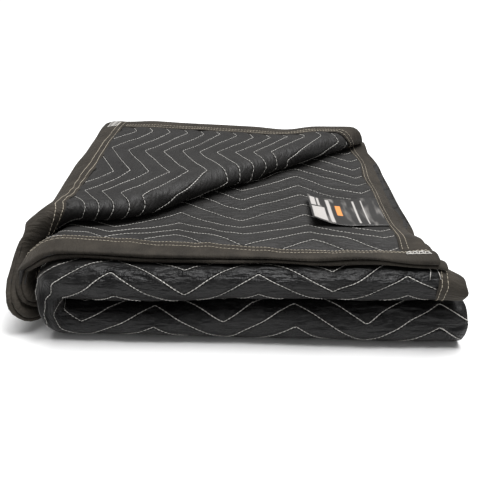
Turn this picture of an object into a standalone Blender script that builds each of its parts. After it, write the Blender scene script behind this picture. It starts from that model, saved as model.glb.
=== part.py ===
# Folded moving blanket: one quilted panel, four binding tapes and a sewn-in label.
#
# The blanket is laid out flat, with u along its length, v across its width and t through its
# thickness, and then folded as it is folded by hand. Every fold is a bend of the whole space, so
# layers that lie on each other stay apart.
#   end fold     the length is halved, which makes pairs of plies
#   nose fold    the width is halved over a fat loop, the nose at the front
#   back fold    the doubled cloth is halved again, so both long edges come to the front
#   corner fold  the top layer's front right corner is turned over to the back left
#   book fold    the stack is halved over its left side, with the nose on the inside
# World axes: +X to the right, +Y to the back, +Z up; the stack stands on Z = 0.
import math

import bmesh
import bpy
import numpy as np
from mathutils import Matrix, Vector
from mathutils.geometry import delaunay_2d_cdt

# Flat blanket
blanket_length = 2.032
blanket_width = 1.829
ply_thickness = 0.0046
ply_pitch = 0.0065
row_spacing = 0.0305
wavelength = 0.1666
zigzag_height = 0.028
first_peak = 0.40
quilt_depth = 0.0017
tape_width = 0.033
tape_wall = 0.0008
sewing_gap = 0.0003
sliver_width = 0.00006
weld_distance = 0.00003

# Folds: the pair of plies is the unit that the later folds bend
nose_radius = 3 * ply_pitch
back_radius_outer = 3 * ply_pitch
back_radius_inner = ply_pitch
nose_lift = 4 * ply_pitch
nose_centre = 0.025
top_share_reach = 0.08
second_share_reach = 0.12
nose_close_top = 0.130
nose_close_bottom = 0.034
nose_droop_radius = 0.035
edge_setback_top = 0.015
edge_setback_bottom = 0.058
edge_setback_turns = (0.2, 0.65)
edge_slant = 0.045
edge_slant_place = 0.33
nose_pinch_share = 0.20
top_pinch = 0.0010
pinch_depth = 0.20
layer_clearance = 0.0014
side_clearance = 0.0030
book_inner_gap = 0.0016

# Book fold: where each panel's right end lies, and the length that goes round the left side
panel_ends = {"top": 0.420, "second": 0.428, "nose": 0.463}
panel_wraps = {"top": 0.160, "second": 0.130, "nose": 0.080}

# Right ends: the inner layers draw in behind the nose, the second layer's lower ply peeks out
inner_slip = 0.045
inner_slip_reach = 0.06
inner_slip_start = -0.010
ply_peek = 0.010
ply_peek_reach = 0.10
slip_fade = 0.40

# Corner fold: two points of its line in the top layer, and its soft roll
corner_line_start = (-0.056, 0.014)
corner_line_end = (0.420, 0.4415)
roll_inner_radius = 0.0052
flap_clearance = 0.0034
roll_close = 0.075
roll_close_steps = (0.022, 0.048, 0.078)
lift_fade_turns = (0.45, 0.90)
roll_bow = 0.055
roll_bow_place = (-0.02, 0.02)
roll_bow_size = (0.055, 0.13)
corner_slide_back = 0.028
corner_slide_front = 0.024
slide_rise = (-0.25, -0.10)
slide_fall = (-0.02, 0.34)
slide_front_place = 0.05
slide_front_size = 0.15

# The stack as it lies
stack_shear = 0.038

# Label, sewn under the second layer's right binding
label_span = (0.0345, 0.131)
label_lines = (0.197, 0.155, 0.116)
label_thickness = 0.0012
label_clearance = 0.0010
label_curl = 0.010

half_pitch = ply_pitch / 2
half_ply = ply_thickness / 2
tongue_half = half_ply - tape_wall - 2 * sewing_gap
tongue_inset = tape_wall + 2 * sewing_gap
book_height = 7.5 * ply_pitch + half_ply + book_inner_gap
end_fold_length = math.pi * half_pitch
end_fold_start = blanket_length / 2 - end_fold_length / 2

# Lengths of the sections across the width, from the top layer's front edge on
straight_total = blanket_width - math.pi * (back_radius_outer + nose_radius + back_radius_inner)
back_line = (straight_total + 2 * edge_setback_top + 2 * nose_centre) / 4
section_lengths = (
    ("top", back_line - edge_setback_top),
    ("outer back", math.pi * back_radius_outer),
    ("under", back_line - nose_centre),
    ("nose", math.pi * nose_radius),
    ("over", back_line - nose_centre),
    ("inner back", math.pi * back_radius_inner),
    ("second", back_line - edge_setback_top),
)
section_ends = np.cumsum([0.0] + [length for name, length in section_lengths])


def ease(x):
    """Smooth step from 0 to 1."""
    x = np.clip(x, 0.0, 1.0)
    return x * x * (3 - 2 * x)


def between(x, start, stop):
    """Smooth step from 0 at start to 1 at stop."""
    return ease((x - start) / (stop - start))


def panel_shares(v):
    """How far a place across the width belongs to the top and to the second panel."""
    top = 1 - between(v, section_ends[1], section_ends[2] + top_share_reach)
    second = between(v, section_ends[5] - second_share_reach, section_ends[6])
    return top, second


def book_lengths(v):
    """Length right of the book fold, and length round it, for a place across the width."""
    top, second = panel_shares(v)
    shares = {"top": top, "second": second, "nose": 1 - top - second}
    end = sum(shares[name] * panel_ends[name] for name in shares)
    wrap = sum(shares[name] * panel_wraps[name] for name in shares)
    return end, wrap


def fold_end(u, t):
    """Halve the length: the way along the pair of plies, and the offset from its middle."""
    turn = np.clip((u - end_fold_start) / end_fold_length, 0, 1) * math.pi
    along = np.minimum(u, end_fold_start) + (half_pitch + t) * np.sin(turn)
    along = along - np.maximum(0, u - end_fold_start - end_fold_length)
    return along, (half_pitch + t) * np.cos(turn)


def fold_across(v, offset, setback):
    """Nose and back folds: depth, and height over the book fold's middle, both folds tight."""
    depth = np.zeros_like(v)
    height = np.zeros_like(v)
    middle = 4 * ply_pitch
    for index, (name, length) in enumerate(section_lengths):
        starts = (v > section_ends[index]) | (index == 0)
        here = starts & (v <= section_ends[index + 1])
        share = (v - section_ends[index]) / length
        turn = share * math.pi
        if name == "top":
            place = setback + (back_line - setback) * share
            rise = 7 * ply_pitch + offset
        elif name == "outer back":
            place = back_line + (back_radius_outer + offset) * np.sin(turn)
            rise = middle + (back_radius_outer + offset) * np.cos(turn)
        elif name == "under":
            place = back_line + (nose_centre - back_line) * share
            rise = ply_pitch - offset
        elif name == "nose":
            place = nose_centre - (nose_radius + offset) * np.sin(turn)
            rise = middle - (nose_radius + offset) * np.cos(turn)
        elif name == "over":
            place = nose_centre + (back_line - nose_centre) * share
            rise = 3 * ply_pitch + offset
        elif name == "inner back":
            place = back_line + (back_radius_inner - offset) * np.sin(turn)
            rise = middle - (back_radius_inner - offset) * np.cos(turn)
        else:
            place = back_line + (setback - back_line) * share
            rise = 5 * ply_pitch - offset
        depth = np.where(here, place, depth)
        height = np.where(here, rise, height)
    return depth, height


def corner_frame():
    """Start of the corner fold's line, its direction, and the direction across it."""
    start = np.array(corner_line_start)
    line = np.array(corner_line_end) - start
    line = line / np.linalg.norm(line)
    return start, line, np.array((line[1], -line[0]))


def fold_corner(across, depth, height):
    """Turn the part of the top layer that lies beyond the line over its soft roll."""
    start, line, out = corner_frame()
    middle = 7 * ply_pitch + book_inner_gap
    centre = middle + half_pitch + half_ply + roll_inner_radius
    roll_length = math.pi * (centre - middle)
    beyond = (across - start[0]) * out[0] + (depth - start[1]) * out[1]
    along = (across - start[0]) * line[0] + (depth - start[1]) * line[1]
    turn = np.clip(beyond / roll_length, 0, 1) * math.pi
    reach = centre - height
    flat = np.minimum(beyond, 0) + reach * np.sin(turn) - np.maximum(beyond - roll_length, 0)
    rise = centre - reach * np.cos(turn)
    turned = beyond >= roll_length
    sink = (2 * roll_inner_radius - flap_clearance) * ease(-flat / roll_close)
    rise = np.where(turned, rise - sink, rise)
    new_across = start[0] + along * line[0] + flat * out[0]
    new_depth = start[1] + along * line[1] + flat * out[1]
    return new_across, new_depth, rise


def right_end_slip(across, u, v):
    """How far the inner layers' right ends are drawn in, less how far the lower ply peeks out."""
    top, second = panel_shares(v)
    from_nose = np.maximum(v - section_ends[4], section_ends[3] - v)
    drawn = inner_slip * (1 - top - second) * between(from_nose, inner_slip_start, inner_slip_reach)
    peek = ply_peek * between(v, section_ends[6], section_ends[6] + ply_peek_reach)
    return (drawn - np.where(u < blanket_length / 2, peek, 0)) * ease(across / slip_fade)


def corner_slide(across, depth):
    """How far the top layer slides over the left side."""
    fade = between(across, *slide_rise) * (1 - between(across, *slide_fall))
    front = (depth - slide_front_place) / slide_front_size
    return fade * (corner_slide_back + corner_slide_front * np.exp(-front * front))


def roll_bowing(across, depth):
    """How far the roll's left end is bowed to the back."""
    side = (across - roll_bow_place[0]) / roll_bow_size[0]
    deep = (depth - roll_bow_place[1]) / roll_bow_size[1]
    return roll_bow * np.exp(-side * side - deep * deep)


def fold(u, v, t):
    """The folded place of each point of the flat blanket."""
    u, v, t = (np.asarray(value, dtype=float) for value in (u, v, t))
    v = np.clip(v, 0.0, section_ends[-1])
    along, offset = fold_end(u, t)
    end, wrap = book_lengths(v)
    top, second = panel_shares(v)
    outer = top + second
    across = end - along
    across = across - right_end_slip(across, u, v)
    turn = np.clip(-across / wrap, 0, 1)
    setback = edge_setback_top + edge_slant * (edge_slant_place - np.maximum(across, 0))
    setback = setback + (edge_setback_bottom - setback) * between(turn, *edge_setback_turns)
    depth, height = fold_across(v, offset, setback)
    height = height + book_inner_gap

    in_top = v <= section_ends[1]
    turned, turned_depth, turned_height = fold_corner(across, depth, height)
    across = np.where(in_top, turned, across)
    depth = np.where(in_top, turned_depth, depth)
    height = np.where(in_top, turned_height, height)
    across = across - top * corner_slide(across, depth)
    depth = depth + np.where(in_top, roll_bowing(across, depth), 0)

    turn = np.clip(-across / wrap, 0, 1)
    late = between(turn, *lift_fade_turns)
    behind = np.maximum(depth - nose_centre, 0)
    before = np.maximum(nose_centre - depth, 0)
    top_lift = nose_lift * (1 - ease(behind / nose_close_top)) - before ** 2 / (2 * nose_droop_radius)
    bottom_lift = nose_lift * (1 - ease(behind / nose_close_bottom))
    is_over = (v > section_ends[4]) & (v <= section_ends[5])
    is_layer = in_top | (v > section_ends[6])
    height = height + np.where(is_layer, (1 - late) * top_lift, 0)
    front = 1 - ease(behind / nose_close_top)
    angle = turn * math.pi
    height = height + outer * layer_clearance * front * (1 - late)
    wrapped = 1 - between(v, section_ends[1], section_ends[2])
    height = height + wrapped * side_clearance * np.sin(angle) ** 2
    height = height + np.where(is_over, (1 - late) * top_lift + late * bottom_lift, 0)

    pinch = 1 - ease((depth - nose_centre) / pinch_depth)
    reach = height - pinch * (top * top_pinch + (1 - outer) * nose_pinch_share * height)
    x = np.maximum(across, 0) + np.maximum(-across - wrap, 0) - reach * np.sin(angle)
    z = book_height + height * np.cos(angle)
    y = depth - stack_shear * x
    return x, y, z


def zigzag(u):
    """The quilting's sideways swing, in the cloth's own width, at a place along its length."""
    waves = u / wavelength - first_peak + 0.5 * ease((u - 1.10) / 0.35)
    return zigzag_height * (1 - 4 * np.abs(waves - np.floor(waves + 0.5)))


def zigzag_corners(start, stop):
    """Places along the length where the zigzag turns."""
    places = np.linspace(start, stop, int((stop - start) / 0.0002))
    rising = np.diff(zigzag(places)) > 0
    turns = np.nonzero(rising[1:] != rising[:-1])[0] + 1
    return [float(places[index]) for index in turns]


def quilt_relief(u, v):
    """Depth of the quilting under the puffed face: deepest along the stitched rows."""
    phase = (v - zigzag(u)) / row_spacing
    return quilt_depth * 2 * np.abs(phase - np.floor(phase) - 0.5)


def stations(start, stop, count):
    """Evenly spaced places from start to stop."""
    return [float(value) for value in np.linspace(start, stop, count + 1)]


def across_stations():
    """Places across the width where a line runs along the blanket."""
    ends = section_ends
    front = [0.0, tongue_inset, tape_width / 2, tape_width, 0.065, 0.095, 0.125, 0.16, 0.23]
    nose_back = [ends[4] + step for step in (0.012, 0.030, 0.055, 0.085, 0.115, 0.15, 0.26)]
    middle = (stations(ends[1], ends[2], 6) + [ends[2] + 0.10]
              + stations(ends[3], ends[4], 6) + nose_back + stations(ends[5], ends[6], 4))
    last = [blanket_width - v for v in (0.30, *label_lines, 0.095, 0.065, tape_width,
                                        tongue_inset, 0)]
    return front + middle + last


def book_place(v, length):
    """Place in the panel, left of its right end, that comes to lie a length into the book fold."""
    top, second = panel_shares(np.array(v))
    depth = edge_setback_top + min(v, section_ends[1])
    place = -length
    for step in range(6):
        place = -length + float(top * corner_slide(place, depth))
    return place


def along_stations(v):
    """Places along the length where a line crosses the blanket, at a place across the width."""
    end, wrap = (float(value) for value in book_lengths(np.array(v)))
    far = end + wrap
    half = [0.0, tongue_inset, tape_width]
    half += [end * share for share in (0.44, 0.64, 0.80)]
    half += [end - book_place(v, share * wrap) for share in stations(0.0, 1.0, 7)]
    half += [(far + end_fold_start) / 2]
    half += stations(end_fold_start, blanket_length / 2, 2)
    return half + [blanket_length - u for u in reversed(half[:-1])]


def roll_lines():
    """Lines of the corner fold's roll in the flat blanket, for both plies of the top layer."""
    start, line, out = corner_frame()
    roll_length = math.pi * (half_pitch + half_ply + roll_inner_radius)
    lines = []
    for beyond in stations(0.0, roll_length, 6) + [roll_length + step for step in roll_close_steps]:
        base = start + out * beyond
        front = base + line * (edge_setback_top - base[1]) / line[1]
        right = base + line * (panel_ends["top"] - base[0]) / line[0]
        run = [(panel_ends["top"] - float(front[0]), 0.0), (0.0, float(right[1]) - edge_setback_top)]
        lines.append(run)
        lines.append([(blanket_length - u, v) for u, v in run])
    return lines


def clip_run(start, stop, outline):
    """Part of a straight run inside a convex outline drawn anticlockwise, or None."""
    low, high = 0.02, 0.98
    if np.hypot(stop[0] - start[0], stop[1] - start[1]) < 1e-6:
        return None
    for index, corner in enumerate(outline):
        side = (corner[0] - outline[index - 1][0], corner[1] - outline[index - 1][1])
        at_start = side[0] * (start[1] - corner[1]) - side[1] * (start[0] - corner[0])
        at_stop = side[0] * (stop[1] - corner[1]) - side[1] * (stop[0] - corner[0])
        if at_start < 0 and at_stop < 0:
            return None
        if at_start < 0:
            low = max(low, at_start / (at_start - at_stop))
        if at_stop < 0:
            high = min(high, at_start / (at_start - at_stop))
    low, high = (0.0 if low == 0.02 else low), (1.0 if high == 0.98 else high)
    if high - low < 0.06:
        return None
    return tuple((start[0] + (stop[0] - start[0]) * share, start[1] + (stop[1] - start[1]) * share)
                 for share in (low, high))


def quilt_runs(outline):
    """Straight runs of the stitched rows and of the crests between them, inside one field."""
    lowest, highest = np.min(outline, axis=0), np.max(outline, axis=0)
    turns = [float(lowest[0])] + zigzag_corners(lowest[0], highest[0]) + [float(highest[0])]
    swing = [float(zigzag(np.array(u))) for u in turns]
    first = int((lowest[1] - zigzag_height) / row_spacing * 2)
    last = int((highest[1] + zigzag_height) / row_spacing * 2) + 1
    runs = []
    for number in range(first, last + 1):
        middle = number * row_spacing / 2
        for index in range(len(turns) - 1):
            run = clip_run((turns[index], middle + swing[index]),
                           (turns[index + 1], middle + swing[index + 1]), outline)
            if run:
                runs.append(run)
    return runs


def triangulate(points, edges):
    """Triangles over a flat drawing of points and the lines between them."""
    vectors = [Vector((u, v)) for u, v in points]
    result = delaunay_2d_cdt(vectors, edges, [], 0, 2e-6)
    drawn = np.array([tuple(point) for point in result[0]])
    return drawn, swap_slivers(drawn, [tuple(face) for face in result[2]])


def sliver_corners(points, face):
    """The long side and the tip of a triangle that has next to no width, or None."""
    sides = [(float(np.linalg.norm(points[face[i]] - points[face[i - 1]])), i) for i in range(3)]
    length, i = max(sides)
    a, b, tip = face[i - 1], face[i], face[i - 2]
    side, reach = points[b] - points[a], points[tip] - points[a]
    width = abs(side[0] * reach[1] - side[1] * reach[0]) / length
    return (a, b, tip) if width < sliver_width else None


def swap_slivers(points, faces):
    """Give each sliver's tip to the neighbour on its long side, so that it folds as one line."""
    for turn in range(8):
        owners = {}
        for number, face in enumerate(faces):
            for index in range(3):
                owners.setdefault(frozenset((face[index], face[index - 1])), []).append(number)
        touched, dropped = set(), set()
        for number, face in enumerate(faces):
            corners = sliver_corners(points, face)
            if corners is None or number in touched:
                continue
            a, b, tip = corners
            others = [other for other in owners[frozenset((a, b))] if other != number]
            if not others:
                dropped.add(number)
            elif others[0] not in touched:
                far = [corner for corner in faces[others[0]] if corner not in (a, b)][0]
                faces[number] = (a, tip, far)
                faces[others[0]] = (tip, b, far)
                touched |= {number, others[0]}
        faces = [face for number, face in enumerate(faces) if number not in dropped]
        if not touched:
            break
    return faces


def flat_drawing():
    """The fold lines over the whole flat blanket, as points and edges."""
    points, edges = [], []
    depths = across_stations()
    count = len(along_stations(0.0))
    for row, v in enumerate(depths):
        for column, u in enumerate(along_stations(v)):
            here = row * count + column
            points.append((u, v))
            if column:
                edges.append((here - 1, here))
            if row:
                edges.append((here - count, here))
    for run in roll_lines():
        edges.append((len(points), len(points) + 1))
        points += run
    return points, edges


def boundary(faces):
    """Edges that belong to one face only."""
    seen = {}
    for face in faces:
        for index in range(3):
            edge = tuple(sorted((face[index], face[index - 1])))
            seen[edge] = seen.get(edge, 0) + 1
    return {edge for edge, uses in seen.items() if uses == 1}


def faces_inside(points, faces, box):
    """Faces whose middle lies inside a box (u0, u1, v0, v1)."""
    middles = points[np.array(faces)].mean(axis=1)
    inside = ((middles[:, 0] > box[0]) & (middles[:, 0] < box[1])
              & (middles[:, 1] > box[2]) & (middles[:, 1] < box[3]))
    return [face for face, keep in zip(faces, inside) if keep]


class Solid:
    """Faces gathered in the flat blanket's own space, folded when they are complete."""

    def __init__(self):
        self.mesh = bmesh.new()

    def face(self, corners):
        self.mesh.faces.new([self.mesh.verts.new(corner) for corner in corners])

    def layer(self, points, faces, height):
        for face in faces:
            self.face([(points[index][0], points[index][1], height(*points[index]))
                       for index in face])

    def wall(self, points, edges, low, high, steps=None):
        """Upright faces on edges; steps gives further heights at single points, low to high."""
        steps = steps or {}
        for first, second in sorted(edges):
            sides = [[(*points[index], height) for height in (low, *steps.get(index, ()), high)]
                     for index in (first, second)]
            (left, right), (a, b) = sides, (0, 0)
            while a < len(left) - 1 or b < len(right) - 1:
                climb = b == len(right) - 1 or (a < len(left) - 1 and left[a][2] <= right[b][2])
                if climb:
                    self.face([left[a], right[b], left[a + 1]])
                    a += 1
                else:
                    self.face([left[a], right[b], right[b + 1]])
                    b += 1

    def finish(self, name, material):
        """Weld, fold, and make the object; its faces point outwards."""
        bmesh.ops.remove_doubles(self.mesh, verts=self.mesh.verts, dist=weld_distance)
        flat = np.array([tuple(vertex.co) for vertex in self.mesh.verts])
        folded = np.stack(fold(flat[:, 0], flat[:, 1], flat[:, 2]), axis=1)
        for vertex, place in zip(self.mesh.verts, folded):
            vertex.co = place
        bmesh.ops.recalc_face_normals(self.mesh, faces=self.mesh.faces)
        if self.mesh.calc_volume(signed=True) < 0:
            bmesh.ops.reverse_faces(self.mesh, faces=self.mesh.faces)
        data = bpy.data.meshes.new(name)
        self.mesh.to_mesh(data)
        self.mesh.free()
        data.materials.append(material)
        return bpy.data.objects.new(name, data)


def level(value):
    """A height that is the same everywhere."""
    return lambda u, v: value


def make_material(name, colour, roughness):
    material = bpy.data.materials.new(name)
    material.use_nodes = True
    shader = material.node_tree.nodes["Principled BSDF"]
    shader.inputs["Base Color"].default_value = (*colour, 1.0)
    shader.inputs["Roughness"].default_value = roughness
    shader.inputs["Metallic"].default_value = 0.0
    return material


inner_box = (tape_width, blanket_length - tape_width, tape_width, blanket_width - tape_width)
quilted_fields = {
    "second layer": ((1.990, 1.440), (1.990, 1.787), (1.500, 1.787), (1.520, 1.735)),
    "turned corner": ((1.558, 0.042), (1.990, 0.042), (1.990, 0.418)),
    "noses": ((0.042, 0.898), (0.990, 0.898), (0.990, 0.985), (0.042, 0.985)),
}


def field_share(u, v):
    """1 inside the quilted fields, 0 outside them and on their outlines."""
    for outline in quilted_fields.values():
        inside = [(corner[0] - outline[index - 1][0]) * (v - corner[1])
                  - (corner[1] - outline[index - 1][1]) * (u - corner[0]) > 1e-5
                  for index, corner in enumerate(outline)]
        if all(inside):
            return 1.0
    return 0.0


def puffed_face(u, v):
    """Height of the outer face, with the quilting pressed in."""
    return half_ply - float(quilt_relief(np.array(u), np.array(v))) * field_share(u, v)


def quilted_drawing(points, faces):
    """The inner part of the fold lines again, with the quilting's lines added."""
    inside = faces_inside(points, faces, inner_box)
    edges = sorted({tuple(sorted((face[index], face[index - 1])))
                    for face in inside for index in range(3)})
    used = sorted({index for edge in edges for index in edge})
    place = {index: number for number, index in enumerate(used)}
    drawing = [tuple(points[index]) for index in used]
    lines = [(place[first], place[second]) for first, second in edges]
    for outline in quilted_fields.values():
        for run in quilt_runs(outline):
            lines.append((len(drawing), len(drawing) + 1))
            drawing += run
    return triangulate(drawing, lines)


def make_panel(points, faces, material):
    """The quilted panel: thick inside the tapes, thin where it lies in them."""
    solid = Solid()
    inside = faces_inside(points, faces, inner_box)
    whole = faces_inside(points, faces, (tongue_inset, blanket_length - tongue_inset,
                                         tongue_inset, blanket_width - tongue_inset))
    kept = set(inside)
    rim = [face for face in whole if face not in kept]
    solid.layer(*quilted_drawing(points, faces), puffed_face)
    solid.layer(points, inside, level(-half_ply))
    solid.layer(points, rim, level(tongue_half))
    solid.layer(points, rim, level(-tongue_half))
    step = boundary(inside)
    solid.wall(points, step, tongue_half, half_ply)
    solid.wall(points, step, -half_ply, -tongue_half)
    solid.wall(points, boundary(whole), -tongue_half, tongue_half)
    return solid.finish("quilted_panel", material)


def make_tape(name, points, faces, box, cavity, shifts, material):
    """A binding tape: a strip folded over the panel's edge, open to the panel.

    It is drawn on the panel's own lines, and shifts moves some of them off the panel.
    """
    solid = Solid()
    body = faces_inside(points, faces, box)
    hollow = faces_inside(points, faces, cavity)
    outline, mouth = boundary(body), boundary(hollow)
    moved = points.copy()
    for axis, place, step in shifts:
        moved[np.abs(points[:, axis] - place) < 1e-5, axis] += step
    inner = half_ply - tape_wall
    for side in (1, -1):
        solid.layer(moved, body, level(side * half_ply))
        solid.layer(moved, hollow, level(side * inner))
    lips = {index: (-inner, inner) for edge in outline & mouth for index in edge}
    solid.wall(moved, outline - mouth, -half_ply, half_ply, lips)
    solid.wall(moved, mouth - outline, -inner, inner)
    solid.wall(moved, outline & mouth, inner, half_ply)
    solid.wall(moved, outline & mouth, -half_ply, -inner)
    return solid.finish(name, material)


def make_label(material):
    """The label, flat on the second layer, its free left end curled up a little."""
    columns = 8
    points, faces = [], []
    for row, step in enumerate(label_lines):
        for column, along in enumerate(np.linspace(*label_span, columns + 1)):
            points.append((blanket_length - along, blanket_width - step))
            if row and column:
                here = row * (columns + 1) + column
                below = here - columns - 1
                faces += [(below - 1, below, here), (below - 1, here, here - 1)]
    points = np.array(points)

    def under(u, v):
        share = (blanket_length - u - label_span[0]) / (label_span[1] - label_span[0])
        return half_ply + label_clearance + label_curl * max(0.0, share - 0.55) ** 2 / 0.2

    solid = Solid()
    solid.layer(points, faces, under)
    solid.layer(points, faces, lambda u, v: under(u, v) + label_thickness)
    for first, second in sorted(boundary(faces)):
        low = [(*points[index], under(*points[index])) for index in (first, second)]
        high = [(u, v, height + label_thickness) for u, v, height in low]
        solid.face([low[0], low[1], high[1]])
        solid.face([low[0], high[1], high[0]])
    return solid.finish("label", material)


def main():
    for old in list(bpy.data.objects):
        bpy.data.objects.remove(old, do_unlink=True)
    cloth = make_material("quilted_cloth", (0.012, 0.013, 0.015), 0.75)
    tape = make_material("binding_tape", (0.030, 0.026, 0.020), 0.80)
    satin = make_material("label_satin", (0.55, 0.54, 0.52), 0.45)

    points, faces = triangulate(*flat_drawing())
    length, width, tape_in, inset = blanket_length, blanket_width, tape_width, tongue_inset
    pieces = [make_panel(points, faces, cloth), make_label(satin)]
    near = ((inset, -sewing_gap), (tape_in, -sewing_gap))
    far_u = ((length - inset, sewing_gap), (length - tape_in, sewing_gap))
    far_v = ((width - inset, sewing_gap), (width - tape_in, sewing_gap))
    ends = [(0, *near[0]), (0, *far_u[0])]
    tapes = (
        ("binding_long_a", (0, length, 0, tape_in), (inset, length - inset, inset, tape_in),
         ends + [(1, *move) for move in near]),
        ("binding_long_b", (0, length, width - tape_in, width),
         (inset, length - inset, width - tape_in, width - inset),
         ends + [(1, *move) for move in far_v]),
        ("binding_short_a", (0, tape_in, tape_in, width - tape_in),
         (inset, tape_in, tape_in, width - tape_in), [(0, *move) for move in near]),
        ("binding_short_b", (length - tape_in, length, tape_in, width - tape_in),
         (length - tape_in, length - inset, tape_in, width - tape_in),
         [(0, *move) for move in far_u]),
    )
    for name, box, cavity, shifts in tapes:
        pieces.append(make_tape(name, points, faces, box, cavity, shifts, tape))

    corners = np.array([tuple(vertex.co) for piece in pieces for vertex in piece.data.vertices])
    middle = (corners.min(axis=0) + corners.max(axis=0)) / 2
    collection = bpy.data.collections.new("folded_moving_blanket")
    bpy.context.scene.collection.children.link(collection)
    for piece in pieces:
        piece.data.transform(Matrix.Translation((-middle[0], -middle[1], 0.0)))
        collection.objects.link(piece)


main()
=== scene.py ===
# Folded moving blanket: its looks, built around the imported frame.
import math

import bpy
import numpy as np
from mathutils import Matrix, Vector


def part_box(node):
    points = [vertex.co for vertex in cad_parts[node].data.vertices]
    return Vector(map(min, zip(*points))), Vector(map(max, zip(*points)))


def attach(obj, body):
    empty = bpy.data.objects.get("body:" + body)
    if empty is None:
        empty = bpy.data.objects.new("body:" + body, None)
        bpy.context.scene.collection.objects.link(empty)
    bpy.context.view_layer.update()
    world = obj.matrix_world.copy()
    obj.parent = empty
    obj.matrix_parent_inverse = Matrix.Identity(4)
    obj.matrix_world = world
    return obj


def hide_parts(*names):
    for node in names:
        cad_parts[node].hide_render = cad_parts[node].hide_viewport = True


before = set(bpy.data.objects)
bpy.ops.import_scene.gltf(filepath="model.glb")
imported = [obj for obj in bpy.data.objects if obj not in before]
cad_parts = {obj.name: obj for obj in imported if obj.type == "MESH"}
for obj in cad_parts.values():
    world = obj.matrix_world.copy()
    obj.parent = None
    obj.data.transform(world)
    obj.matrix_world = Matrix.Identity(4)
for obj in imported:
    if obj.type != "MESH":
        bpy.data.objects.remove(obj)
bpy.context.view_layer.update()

# The flat blanket, in metres: u runs along its length, v across its width, t through it
blanket = {
    "length": 2.032, "width": 1.829, "ply": 0.0046, "pitch": 0.0065,
    "rowSpacing": 0.0305, "wave": 0.1666, "swing": 0.028, "firstPeak": 0.40,
    "shift": 0.5, "shiftStart": 1.10, "shiftLength": 0.35, "tape": 0.033,
}
length, width, pitch = blanket["length"], blanket["width"], blanket["pitch"]
halfPitch, halfPly = pitch / 2, blanket["ply"] / 2

# How it is folded: the same folds as the solids
folds = {
    "noseCentre": 0.025, "noseLift": 4 * pitch, "closeTop": 0.130, "closeBottom": 0.034,
    "droop": 0.035, "setbackTop": 0.015, "setbackBottom": 0.058, "setbackTurns": (0.2, 0.65),
    "slant": 0.045, "slantPlace": 0.33, "nosePinch": 0.20, "topPinch": 0.001, "pinchDepth": 0.20,
    "layerClearance": 0.0014, "sideClearance": 0.0030, "bookGap": 0.0016, "liftFade": (0.45, 0.90),
    "topReach": 0.08, "secondReach": 0.12, "shear": 0.038,
    "slip": 0.045, "slipReach": 0.06, "slipStart": -0.010, "peek": 0.010, "peekReach": 0.10,
    "slipFade": 0.40,
}
panelEnds = {"top": 0.420, "second": 0.428, "nose": 0.463}
panelWraps = {"top": 0.160, "second": 0.130, "nose": 0.080}
corner = {
    "start": (-0.056, 0.014), "end": (0.420, 0.4415), "innerRadius": 0.0052, "clearance": 0.0034,
    "close": 0.075, "bow": 0.055, "bowPlace": (-0.02, 0.02), "bowSize": (0.055, 0.13),
    "slideBack": 0.040, "slideFront": -0.006, "slideRise": (-0.25, -0.10), "slideFall": (-0.02, 0.34),
    "slidePlace": 0.05, "slideSize": 0.15,
}
outerRadius, innerRadius = 3 * pitch, pitch
straight = width - math.pi * (2 * outerRadius + innerRadius)
backLine = (straight + 2 * folds["setbackTop"] + 2 * folds["noseCentre"]) / 4
sectionLengths = np.array((
    backLine - folds["setbackTop"], math.pi * outerRadius, backLine - folds["noseCentre"],
    math.pi * outerRadius, backLine - folds["noseCentre"], math.pi * innerRadius,
    backLine - folds["setbackTop"]))
ends = np.concatenate(([0.0], np.cumsum(sectionLengths)))
bookHeight = 7.5 * pitch + halfPly + folds["bookGap"]
endFoldLength = math.pi * halfPitch
endFoldStart = length / 2 - endFoldLength / 2


def ease(x):
    # smooth step: 3x^2 - 2x^3 between 0 and 1
    x = np.clip(x, 0.0, 1.0)
    return x * x * (3 - 2 * x)


def between(x, start, stop):
    return ease((x - start) / (stop - start))


latticeSize = 97


def softNoise(u, v, sizes, seed):
    # random numbers on a lattice with these spacings, blended by a smooth step between its points
    lattice = np.random.default_rng(seed).uniform(-1, 1, (latticeSize, latticeSize))
    a, b = u / sizes[0], v / sizes[1]
    i, j = np.floor(a).astype(int), np.floor(b).astype(int)
    s, r = ease(a - i), ease(b - j)
    nextI, nextJ = (i + 1) % latticeSize, (j + 1) % latticeSize
    i, j = i % latticeSize, j % latticeSize
    low = lattice[i, j] * (1 - s) + lattice[nextI, j] * s
    high = lattice[i, nextJ] * (1 - s) + lattice[nextI, nextJ] * s
    return low * (1 - r) + high * r


def bell(x, middle, spread):
    # exp(-d^2), where d is the distance from the middle in spreads
    distance = (x - middle) / spread
    return np.exp(-distance * distance)


def panelShares(v):
    # shares of the top and of the second layer, each fading out past its own back fold
    top = 1 - between(v, ends[1], ends[2] + folds["topReach"])
    second = between(v, ends[5] - folds["secondReach"], ends[6])
    return top, second


def foldEnd(u, t):
    # halving the length: a half circle of radius halfPitch + t about the middle of the length
    turn = np.clip((u - endFoldStart) / endFoldLength, 0, 1) * math.pi
    along = np.minimum(u, endFoldStart) + (halfPitch + t) * np.sin(turn)
    along = along - np.maximum(0, u - endFoldStart - endFoldLength)
    return along, (halfPitch + t) * np.cos(turn)


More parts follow.
